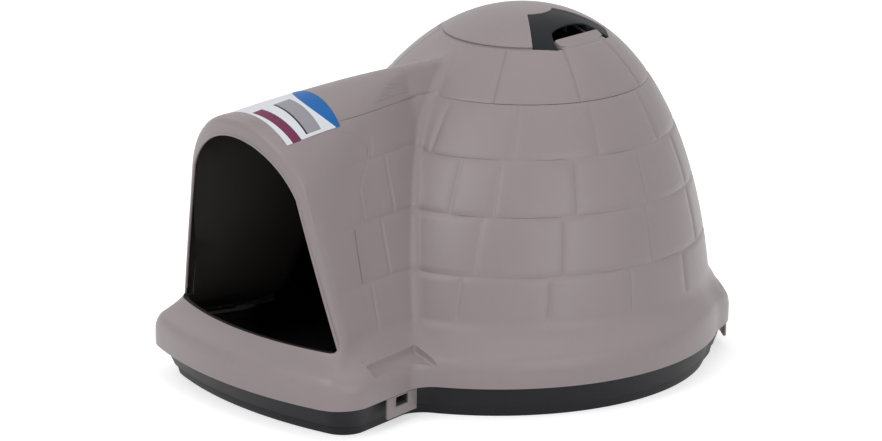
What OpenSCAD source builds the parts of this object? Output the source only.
// Igloo-shaped plastic dog house: a domed shell with an entry tunnel, moulded
// block courses and a flowing skirt, standing on a shallow base pan. All in mm.
// Door faces -Y, X is across, Z is up. The frame is at the bottom centre.

/* [House] */
// Height of the crown over the ground
house_h = 635; // [621:2:649]
// Length from the front of the skirt to its back
house_l = 1056; // [1040:2:1072]
// Radius of the round part of the skirt, so the width is twice this
skirt_r = 432; // [426:1:438]
// How far the crown lies behind the centre of the round skirt
crown_back = 85; // [80:1:90]

/* [Dome shell] */
// Radius of the dome's curve where it would meet the ground
wall_r = 411; // [408:1:414]
// Thickness of the plastic wall
wall_t = 4.5; // [4:0.25:5.5]
// Depth of the grooves between the moulded blocks
groove_d = 2.5; // [2:0.25:3]
// Half width of the grooves between the moulded blocks
groove_w = 4; // [3:0.25:5]
// Height at which the wall turns out into the skirt
foot_z = 165; // [158:1:172]
// Height of the skirt's lower edge
lip_z = 57; // [54:0.5:60]

/* [Tunnel] */
// Height of the tunnel roof at the door
arch_top = 534; // [528:1:540]
// How much higher the roof is where it meets the dome
ridge_rise = 35; // [30:1:38]
// Half width of the tunnel at the foot of its wall
tunnel_w = 187; // [183:1:191]
// How much wider the tunnel flares at the door
door_flare = 46; // [42:1:50]
// How far the door face stands back from the front of the skirt
face_in = 48; // [44:1:52]

/* [Doorway] */
// Radius of the arch over the doorway
door_r = 161; // [154:1:164]
// Height of the arch's centre
door_z = 338; // [332:1:342]
// Height of the doorway's sill
sill_z = 146; // [140:1:150]

/* [Base pan] */
// Height of the pan's rim, on which the shell rests
rim_z = 72; // [68:0.5:76]
// Height of the top of the pan's floor
floor_z = 30; // [24:1:36]
// Thickness of the pan's floor
floor_t = 4; // [3:0.5:6]
// Thickness of the pan's wall
pan_t = 4; // [3:0.25:5]
// How far the foot of the pan lies inside the skirt around the dome
pan_in = 23; // [20:1:26]

/* [Snap tabs] */
// Width of each snap tab
tab_w = 87; // [80:1:94]
// Thickness of each snap tab
tab_t = 4; // [3:0.25:4.5]
// Width of the window in each tab
window_w = 36; // [30:1:40]
// Height of the window in each tab
window_h = 18; // [15:1:20]

/* [Roof vent] */
// Angle by which the vent is turned from straight sideways to the back
vent_turn = 8; // [4:1:12]
// Radius of the smooth disc at the crown, which the hood ends at
disc_r = 50; // [46:1:54]
// Thickness of the vent hood's skin
hood_t = 4; // [3:0.25:5]
// Depth of the recess in which the hood sits
recess_d = 16; // [14:0.5:18]

/* [Hidden] */
$fn = 48;
fy = -house_l / 2;
cy = house_l / 2 - skirt_r;
crown_y = cy + crown_back;
lean = 15.3;
lean_more = 5;
narrowing = 26;
slope = 0.23;
side_w = 249;
side_y = fy + 207;
rim_gap = 1;
lip_t = 7;
rest_t = 14;
tab_low = 17;
rear_a = 147;
pad_half = 80;
pad_out = -1;
pad_foot = -22;

// Blends of two distances: a joining and a meeting with a round of radius r
function join(a, b, r) = max(r, min(a, b)) - norm([max(r - a, 0), max(r - b, 0)]);
function meet(a, b, r) = min(-r, max(a, b)) + norm([max(r + a, 0), max(r + b, 0)]);

// The dome, whose rings drift to the back as they rise
function ring_y(z) = crown_y - 75.5 * (1 - z / house_h);
function dome_t(z) = max((z + 41.5) / (house_h + 41.5), 0);
function dome_r(z) = wall_r * pow(max(1 - pow(dome_t(z), 1.78), 0), 1 / 2.21);
function dome_d(p) = let (
    t = dome_t(p[2]),
    q = norm([p[0], p[1] - ring_y(p[2])]) / wall_r,
    g = pow(q, 2.21) + pow(t, 1.78) - 1,
    gr = 2.21 / wall_r * pow(q, 1.21),
    gz = 1.78 / (house_h + 41.5) * pow(t, 0.78))
  g / norm([gr, gz]);

// The tunnel: an arch on leaning sides, flared at the door; its sides draw in
// and lean more as they near the dome
function back_off(y) = y - fy - 65;
function near_dome(y) = pow(min(max((back_off(y) - 60) / 280, 0), 1), 1.5);
function lean_at(y) = lean + lean_more * near_dome(y);
function roof_z(y) = let (s = min(max(back_off(y) / 430, 0), 1))
  arch_top + ridge_rise * (1 - pow(1 - s, 2));
function half_w(y) = tunnel_w - narrowing * near_dome(y)
  + door_flare * pow(max(0, 1 - back_off(y) / 210), 2);
function arch_r(y) = let (b = lean_at(y))
  (half_w(y) * cos(b) - (roof_z(y) - 160) * sin(b)) / (1 - sin(b));
function arch_d(x, z, r, zc, b) = let (dz = z - zc, ax = abs(x))
  atan2(dz, ax) > b ? norm([ax, dz]) - r : ax * cos(b) + dz * sin(b) - r;
function tunnel_d(p) = let (r = arch_r(p[1]))
  arch_d(p[0], p[2], r, roof_z(p[1]) - r, lean_at(p[1]));
function face_y(z) = fy + face_in + 571 - 0.05 * (z - sill_z);
function face_d(p) = norm([p[0], p[1] - face_y(p[2])]) - 571;
function wall_d(p) = join(dome_d(p),
  max(meet(tunnel_d(p), face_d(p), 18), p[1] - cy + 36), 14);

// Plan of the skirt, and of the pan's foot inside it: a circle, a front with
// leaning sides, and two flat pads at the rear where the back tabs hang
function pad_d(x, y, r) = let (
    u = abs(x) * sin(rear_a) - (y - cy) * cos(rear_a) - r,
    v = abs(abs(x) * cos(rear_a) + (y - cy) * sin(rear_a)) - pad_half)
  max(meet(u, v, 26), -u - 120);
function plan_d(x, y, r, w, f, fr, c, pad) = join(join(norm([x, y - cy]) - r,
  max(meet((abs(x) - w - slope * (side_y - y)) / norm([1, slope]),
    norm([x, y - f - fr]) - fr, c), y - cy + 36), 32), pad_d(x, y, r + pad), 60);
function skirt_d(x, y) = plan_d(x, y, skirt_r, side_w, fy, 754, 57, pad_out);
function foot_d(x, y) =
  plan_d(x, y, skirt_r - pan_in, side_w - 28, fy + 44, 732, 40, pad_foot);

// Where a ray from o along v leaves the wall, the skirt's plan or the foot's
function wall_at(o, v, off, a = 0, b = 700, n = 17) = n == 0 ? (a + b) / 2 :
  let (m = (a + b) / 2)
  wall_d(o + m * v) + off > 0 ? wall_at(o, v, off, a, m, n - 1)
    : wall_at(o, v, off, m, b, n - 1);
function skirt_at(o, v, off, a = 0, b = 800, n = 18) = n == 0 ? (a + b) / 2 :
  let (m = (a + b) / 2)
  skirt_d(o[0] + m * v[0], o[1] + m * v[1]) + off > 0
    ? skirt_at(o, v, off, a, m, n - 1) : skirt_at(o, v, off, m, b, n - 1);
function foot_at(o, v, off, a = 0, b = 800, n = 18) = n == 0 ? (a + b) / 2 :
  let (m = (a + b) / 2)
  foot_d(o[0] + m * v[0], o[1] + m * v[1]) + off > 0
    ? foot_at(o, v, off, a, m, n - 1) : foot_at(o, v, off, m, b, n - 1);

// The middle from which the rings are drawn, and the angles round it: close
// together at the door's corners and in the crease between tunnel and dome
low_z = house_h * 0.52;
cap_z = arch_top - 9;
mid_low = cy - 216;
mid_high = cy - 136;
function mid_y(z) =
  mid_low + (mid_high - mid_low) * min(max((z - low_z) / (cap_z - low_z), 0), 1);
function arch_x(y, z) = let (r = arch_r(y), dz = z - (roof_z(y) - r), b = lean_at(y))
  dz > r * sin(b) ? sqrt(max(r * r - dz * dz, 900)) : (r - dz * sin(b)) / cos(b);
function corner_a(z) = let (x = arch_x(fy + 60, min(z, cap_z)))
  atan2(x, mid_y(z) - face_y(z) + sqrt(571 * 571 - x * x));
function crease_y(z) = fy + 478 - (cap_z - z) * 0.45;
function crease_a(z) = let (h = min(z, cap_z), x = arch_x(crease_y(h), h), r = dome_r(z))
  atan2(x, mid_y(z) - ring_y(z) + sqrt(r * r - x * x));
function side_a(z, f) = let (h = min(z, cap_z), y0 = fy + 95, y = y0 + f * (crease_y(h) - y0))
  atan2(arch_x(y, h), mid_y(z) - y);
function half_ring(z) = let (c = corner_a(z), n = crease_a(z)) concat(
  [for (f = [0, 0.25, 0.5, 0.72, 0.88, 1]) f * (c - 3)],
  [c - 1.5, c, c + 1.5, c + 3],
  [for (f = [0.12, 0.3, 0.48, 0.66, 0.84]) min(max(side_a(z, f), c + 3.5 + f), n - 5 + f)],
  [n - 3, n, n + 3, n + 7],
  [for (k = [1:14]) n + 7 + k / 14 * (173 - n)]);
function ring(z, step = 1) = let (h = half_ring(z), m = len(h))
  concat([for (k = [0:step:m - 1]) h[k]], [for (k = [m - 1 - step:-step:1]) 360 - h[k]]);
// Share of the lift that the lines of blocks get where they cross the tunnel
function lift_share(a, z) = let (b = a > 180 ? 360 - a : a, n = crease_a(z),
    t = min(max((n + 14 - b) / 24, 0), 1))
  t * t * (3 - 2 * t);

// One ring of wall points at a height, pushed in by d where blocks show
function block_mask(y) = min(max((y - fy - 112) / 12, 0), 1);
function wall_ring(z, off, d = 0, lift = 0, step = 1) = [for (a = ring(z, step)) let (
    v = [sin(a), -cos(a), 0],
    h = z + lift * lift_share(a, z),
    o = [0, mid_y(z), h],
    p = o + wall_at(o, v, off) * v)
  p - d * block_mask(p[1]) * v];

// Rings of the cap, drawn by rays that rise from the middle of the last ring
rise_front = [1, 2.2, 4, 7, 11, 17, 26, 40, 60];
rise_back = [4, 8, 12.5, 17.5, 23.5, 31, 41, 55, 72];
function cap_ring(j, off, step = 1) = [for (a = ring(cap_z, step)) let (
    b = a > 180 ? 360 - a : a,
    w = min(max((b - 60) / 50, 0), 1),
    e = rise_front[j] * (1 - w) + rise_back[j] * w,
    v = [cos(e) * sin(a), -cos(e) * cos(a), sin(e)],
    o = [0, mid_high, cap_z])
  o + wall_at(o, v, off) * v];
function cap_top(off) = let (o = [0, mid_high, cap_z])
  o + wall_at(o, [0, 0, 1], off) * [0, 0, 1];

// One ring of skirt points: a share u of the way from the wall's foot to the
// skirt's plan, at a height z
function skirt_ring(u, z, off, foot_off, step = 1) = [for (a = ring(foot_z, step)) let (
    v = [sin(a), -cos(a), 0],
    o = [0, mid_low, foot_z],
    ri = wall_at(o, v, foot_off),
    ro = skirt_at(o, v, off),
    r = ri + u * (ro - ri))
  [r * v[0], mid_low + r * v[1], z]];
function foot_ring(off, z) = [for (a = ring(foot_z)) let (
    v = [sin(a), -cos(a), 0],
    r = foot_at([0, mid_low], v, off))
  [r * v[0], mid_low + r * v[1], z]];
function between(p, q, t) = [for (k = [0:len(p) - 1]) p[k] + t * (q[k] - p[k])];

// A closed solid through rings of equal length, with a middle point at each end
module skin(rings, low, high) {
  n = len(rings[0]);
  m = len(rings);
  flat = [for (r = rings) for (p = r) p];
  sides = [for (i = [0:m - 2]) for (k = [0:n - 1]) let (
      a = i * n + k, b = i * n + (k + 1) % n, c = b + n, d = a + n)
    for (t = norm(flat[a] - flat[c]) < norm(flat[b] - flat[d])
      ? [[a, c, b], [a, d, c]] : [[a, d, b], [b, d, c]]) t];
  ends = concat(
    [for (k = [0:n - 1]) [m * n, k, (k + 1) % n]],
    [for (k = [0:n - 1]) [m * n + 1, (m - 1) * n + (k + 1) % n, (m - 1) * n + k]]);
  polyhedron(concat(flat, [low, high]), concat(sides, ends));
}

// Heights of the block courses, as shares of the house's height
course_z = [for (f = [0.37, 0.526, 0.671, 0.806]) f * house_h];
ring_line_z = 0.934 * house_h;
line_lift = [6, 6, 14, 4];
function skirt_z(f) = lip_z + f * (foot_z - lip_z);

module outer_body(off = 0) {
  low = [[0.99, 0], [1, 0.26], [0.985, 0.34], [0.93, 0.43], [0.83, 0.51],
    [0.62, 0.6], [0.35, 0.715], [0.17, 0.81], [0.06, 0.9]];
  walls = [[foot_z, 0, 0], [foot_z + 28, 0, 4]];
  runs = [for (i = [0:3]) let (z = course_z[i], h = line_lift[i],
      g = i < 3 ? (course_z[i + 1] - z) / 2 : 0)
    each concat([[z - groove_w, 0, h], [z, groove_d, h], [z + groove_w, 0, h]],
      [for (f = i < 2 ? [1] : i == 2 ? [0.5, 1, 1.45] : []) [z + f * g, 0, h]])];
  skin(concat(
    [for (r = low) skirt_ring(r[0], skirt_z(r[1]), off, off)],
    [for (r = concat(walls, runs, [[cap_z, 0, 0]])) wall_ring(r[0], off, r[1], r[2])],
    [for (j = [0:8]) cap_ring(j, off)]),
    [0, mid_low, lip_z], cap_top(off));
}
module inner_body() {
  zs = [foot_z + 5, 0.35 * house_h, 0.45 * house_h, 0.54 * house_h,
    0.63 * house_h, 0.7 * house_h, 0.77 * house_h];
  skin([skirt_ring(1, lip_z - 1, lip_t, wall_t), skirt_ring(1, rim_z, lip_t, wall_t)],
    [0, mid_low, lip_z - 1], [0, mid_low, rim_z]);
  skin(concat(
    [skirt_ring(1, rim_z - 1, rest_t, wall_t, 2)],
    [for (r = [[0.83, 0.36], [0.6, 0.5], [0.33, 0.61], [0.13, 0.73]])
      skirt_ring(r[0], skirt_z(r[1]), rest_t, wall_t, 2)],
    [for (z = zs) wall_ring(z, wall_t, 0, 0, 2)],
    [wall_ring(cap_z, wall_t, 0, 0, 2)],
    [for (j = [1, 3, 4, 5, 6, 7, 8]) cap_ring(j, wall_t, 2)]),
    [0, mid_low, rim_z - 1], cap_top(wall_t));
}

// Grooves between the blocks of a course: short V cuts, each from one line of
// blocks up to the next, at angles round the dome or places along the tunnel
function dome_pt(a, z, off) = let (v = [sin(a), -cos(a), 0], o = [0, ring_y(z), z])
  o + wall_at(o, v, off) * v;
function tunnel_pt(s, y, z, off) = let (v = [s, 0, 0], o = [0, y, z])
  o + wall_at(o, v, off) * v;
function steep(p) = let (e = 1, g = [for (v = [[e, 0, 0], [0, e, 0], [0, 0, e]])
    wall_d(p + v) - wall_d(p - v)])
  g / norm(g);
module v_cut(p, q) {
  h = 2;
  w = groove_w * (1 + h / groove_d);
  n = steep((p + q) / 2);
  t = cross(n, (q - p) / norm(q - p));
  hull() polyhedron([p - groove_d * n, p + w * t + h * n, p - w * t + h * n,
    q - groove_d * n, q + w * t + h * n, q - w * t + h * n],
    [[0, 1, 2], [3, 5, 4], [0, 3, 4, 1], [0, 2, 5, 3], [1, 4, 5, 2]]);
}
module dome_joint(a, z0, z1, n) {
  for (k = [1:n])
    v_cut(dome_pt(a, z0 + (k - 1) / n * (z1 - z0), 0), dome_pt(a, z0 + k / n * (z1 - z0), 0));
}
module tunnel_joint(s, y, z0, z1) {
  v_cut(tunnel_pt(s, y, z0, 0), tunnel_pt(s, y, z1, 0));
}
joints = [
  [course_z[3], ring_line_z, 3, [37, 76, 116, 156]],
  [course_z[2], course_z[3], 2, [18, 48.5, 79.7, 110.5, 141.5, 179.3]],
  [course_z[1], course_z[2], 2, [30.2, 44.3, 69.8, 96, 122, 148, 174]],
  [course_z[0], course_z[1], 1, [41, 65.4, 95, 121, 147, 179.3]],
  [foot_z + 4, course_z[0], 1, [37.5, 61.8, 86.6, 110, 135, 160]]];
arches = [
  [course_z[2] + line_lift[2], course_z[3] - 6, [128, 262]],
  [course_z[1] + line_lift[1], course_z[2] + line_lift[2], [217, 300]],
  [course_z[0] + line_lift[0], course_z[1] + line_lift[1], [150, 260]],
  [foot_z + 4, course_z[0] + line_lift[0], [205]]];
module block_joints() {
  for (j = joints, a = j[3], s = [-1, 1])
    if (s > 0 || (a > 0 && a < 179)) dome_joint(s * a, j[0], j[1], j[2]);
  for (j = arches, y = j[2], s = [-1, 1]) tunnel_joint(s, fy + y, j[0], j[1]);
}
module cap_groove() {
  r = dome_r(ring_line_z);
  translate([0, ring_y(ring_line_z), 0]) rotate_extrude($fn = 60)
    polygon([[r - 2.2, ring_line_z - 2.2], [r + 6, ring_line_z - 4.5],
      [r + 3, ring_line_z + 9]]);
}

// Doorway, cut through the front of the shell
module doorway() {
  n = 20;
  arch = [for (k = [0:n]) let (a = lean + k / n * (180 - 2 * lean))
    [door_r * cos(a), door_z + door_r * sin(a)]];
  w = (door_r - (sill_z - door_z) * sin(lean)) / cos(lean);
  difference() {
    translate([0, fy + 150, 0]) rotate([90, 0, 0])
      linear_extrude(150) polygon(concat([[w, sill_z]], arch, [[-w, sill_z]]));
    hull() for (z = [0, house_h]) translate([0, face_y(z), z])
      cylinder(h = 0.1, r = 571 - 2 * wall_t, $fn = 180);
  }
}

// Roof vent: plan of the hood and of its recess
function disc_arc(r, a0, a1, n) = [for (k = [0:n]) let (a = a0 + k / n * (a1 - a0))
  [r * cos(a), r * sin(a)]];
hood_plan = concat([[108, 104], [139, 74], [111, 54], [103, 44], [100, 0],
  [103, -44], [111, -54], [139, -74], [108, -104]], disc_arc(disc_r, -43, 43, 8));
recess_plan = concat([[108, 104], [139, 74], [148, 40], [151, 0], [148, -40],
  [139, -74], [108, -104]], disc_arc(disc_r, -43, 43, 8));
module cap_band(top, low) {
  zs = [for (k = [0:8]) house_h * (0.88 + 0.12 * (1 - pow(1 - k / 8, 2)))];
  outer = [for (z = zs) [dome_r(z), z + top]];
  inner = [for (k = [8:-1:0]) [dome_r(zs[k]), zs[k] + low]];
  translate([0, crown_y - 4, 0]) rotate_extrude($fn = 60) polygon(concat(outer, inner));
}
module vent_place() {
  translate([0, crown_y - 4, 0]) rotate([0, 0, vent_turn]) children();
}
module vent_prism(plan, grow) {
  vent_place() translate([0, 0, house_h - 110]) linear_extrude(140)
    offset(delta = grow) polygon(plan);
}
module recess_tub() {
  intersection() {
    cap_band(-2, -recess_d - wall_t);
    vent_prism(recess_plan, 5);
  }
}
module recess_cut() {
  intersection() {
    cap_band(30, -recess_d);
    vent_prism(recess_plan, 0.4);
  }
  vent_place() translate([58, -46, house_h - 130]) cube([64, 92, 130]);
}
module recess_floor() {
  intersection() {
    vent_place() hull() {
      translate([123, -60, house_h - 80]) cube([1, 120, 80 - 33]);
      translate([152, -60, house_h - 80]) cube([6, 120, 80 - 52]);
    }
    cap_band(-0.5, -recess_d - 2);
    vent_prism(recess_plan, 2);
    difference() {
      vent_prism(recess_plan, 2);
      vent_prism(hood_plan, 0.8);
    }
  }
}
module vent_hood() {
  color("#333439") {
    intersection() {
      cap_band(0, -hood_t);
      vent_prism(hood_plan, 0);
    }
    intersection() {
      cap_band(-hood_t + 0.5, -recess_d + 0.4);
      difference() {
        vent_prism(hood_plan, 0);
        vent_place() translate([36, -49, house_h - 150]) cube([120, 98, 200]);
      }
    }
    intersection() {
      cap_band(-hood_t + 0.5, -recess_d + 0.4);
      vent_prism(hood_plan, 0);
      vent_place() translate([52, -1.5, house_h - 150]) cube([60, 3, 200]);
    }
  }
}

// Snap tabs: places of the four tabs, each a point on the skirt's plan with
// the direction that it faces, and the pocket in the skirt above it
tab_side_y = fy + 212;
rear_r = skirt_at([0, cy], [sin(rear_a), -cos(rear_a)], 0);
function tab_spot(i) = i == 0
  ? [side_w + slope * (side_y - tab_side_y), tab_side_y, atan(slope)]
  : [rear_r * sin(rear_a), cy - rear_r * cos(rear_a), rear_a - 90];
tab_axis_z = lip_z - tab_t / 2 - 0.3;
tab_drop = tab_axis_z - tab_low;
module tab_place(i, s) {
  scale([s, 1, 1]) translate([tab_spot(i)[0], tab_spot(i)[1], 0])
    rotate([0, 0, tab_spot(i)[2]]) children();
}
module tab_body() {
  $fn = 20;
  translate([-4, 0, tab_axis_z]) difference() {
    union() {
      rotate([90, 0, 0]) cylinder(h = tab_w, r = tab_t / 2, center = true);
      translate([-tab_t / 2, 0, 0]) rotate([0, 90, 0]) linear_extrude(tab_t)
        polygon([[0, -tab_w / 2], [0, tab_w / 2], [tab_drop - 4, tab_w / 2 - 1],
          [tab_drop, tab_w / 2 - 4], [tab_drop, 4 - tab_w / 2], [tab_drop - 4, 1 - tab_w / 2]]);
    }
    translate([0, 0, -2 - window_h / 2]) rotate([0, 90, 0]) linear_extrude(20, center = true)
      offset(2.5) square([window_h - 5, window_w - 5], center = true);
  }
}
module tab_pocket() {
  hull() {
    translate([-24, -74, lip_z + 53]) cube([0.1, 148, 50]);
    translate([-2, -74, lip_z + 45]) cube([0.1, 148, 30]);
  }
}
module pocket_boss() {
  hull() {
    translate([-32, -79, lip_z + 47]) cube([0.1, 158, 24]);
    translate([-9, -79, lip_z + 35]) cube([0.1, 158, 6]);
  }
}
module snap_tab(i, s) {
  color("#8a7e80") tab_place(i, s) tab_body();
}

module dome_shell() {
  color("#8f8486") difference() {
    union() {
      difference() {
        outer_body();
        inner_body();
      }
      recess_tub();
      for (i = [0, 1], s = [-1, 1]) tab_place(i, s) pocket_boss();
    }
    block_joints();
    cap_groove();
    doorway();
    difference() {
      recess_cut();
      recess_floor();
    }
    for (i = [0, 1], s = [-1, 1]) tab_place(i, s) tab_pocket();
  }
}

// Base pan: one closed skin from the middle of the underside, out over the
// foot, up the sloping wall and back over the rim to the middle of the floor
module pan_skin() {
  top = skirt_ring(1, rim_z, lip_t + rim_gap, wall_t);
  foot = foot_ring(0, 0);
  function at(z, t, off) = let (m = between(foot, top, t)) [for (p = m) let (
      v = [p[0], p[1] - mid_low] / norm([p[0], p[1] - mid_low]))
    [p[0] - off * v[0], p[1] - off * v[1], z]];
  step = 16;
  low = floor_z - floor_t;
  skin([at(low, 0.25, pan_t + 2), at(0, 0, pan_t + 1), at(0, 0, 0), at(step, 0.12, 0),
    at(step + 2, 0.25, 0), at(rim_z, 1, 0), at(rim_z, 1, pan_t),
    at(floor_z, floor_z / rim_z, pan_t)],
    [0, mid_low, low], [0, mid_low, floor_z]);
}
module catch_nub(i, s) {
  w = window_w - 6;
  root = i == 0 ? -22 : -24;
  low = tab_axis_z - tab_t / 2 - window_h + 1.5;
  tab_place(i, s) {
    hull() {
      translate([root, -w / 2, low]) cube([-4 - tab_t / 2 - 0.4 - root, w, 3]);
      translate([root, -w / 2, low]) cube([4, w, 13]);
    }
    hull() {
      translate([root, -w / 2 - 4, low]) cube([6, w + 8, 2]);
      translate([root, -w / 2, low - 6]) cube([2, w, 12]);
    }
  }
}
module tab_flat() {
  translate([-4 - tab_t / 2 - 0.5, -tab_w / 2 - 1.5, tab_low - 3])
    cube([30, tab_w + 3, rim_z - tab_low + 8]);
}
module base_pan() {
  color("#323034") union() {
    difference() {
      pan_skin();
      for (i = [0, 1], s = [-1, 1]) tab_place(i, s) tab_flat();
    }
    for (i = [0, 1], s = [-1, 1]) catch_nub(i, s);
  }
}
module snap_tab_front_right() {
  snap_tab(0, 1);
}
module snap_tab_front_left() {
  snap_tab(0, -1);
}
module snap_tab_rear_right() {
  snap_tab(1, 1);
}
module snap_tab_rear_left() {
  snap_tab(1, -1);
}

// Paper label laid over the right shoulder of the tunnel by the door: a thin
// sheet over the shell, cut out by a fan of narrow wedges
label_y = [fy + 63, fy + 198];
label_a = [[52, 110], [59, 106]];
module label_wedge(k, n) {
  h = (arch_top + 4) - 170;
  pts = [for (i = [0, 1], j = [0, 1], d = [60, 400]) let (
      a = label_a[i][0] + (k + j) / n * (label_a[i][1] - label_a[i][0]))
    [d * cos(a), label_y[i], h + d * sin(a)]];
  hull() polyhedron(pts, [[0, 1, 3, 2], [4, 6, 7, 5], [0, 4, 5, 1], [2, 3, 7, 6],
    [0, 2, 6, 4], [1, 5, 7, 3]]);
}
module tunnel_label() {
  color("#e9e9ec") intersection() {
    difference() {
      outer_body(-0.9);
      outer_body(-0.3);
    }
    union() for (k = [0:7]) label_wedge(k, 8);
  }
}

dome_shell();
base_pan();
vent_hood();
snap_tab_front_right();
snap_tab_front_left();
snap_tab_rear_right();
snap_tab_rear_left();
tunnel_label();
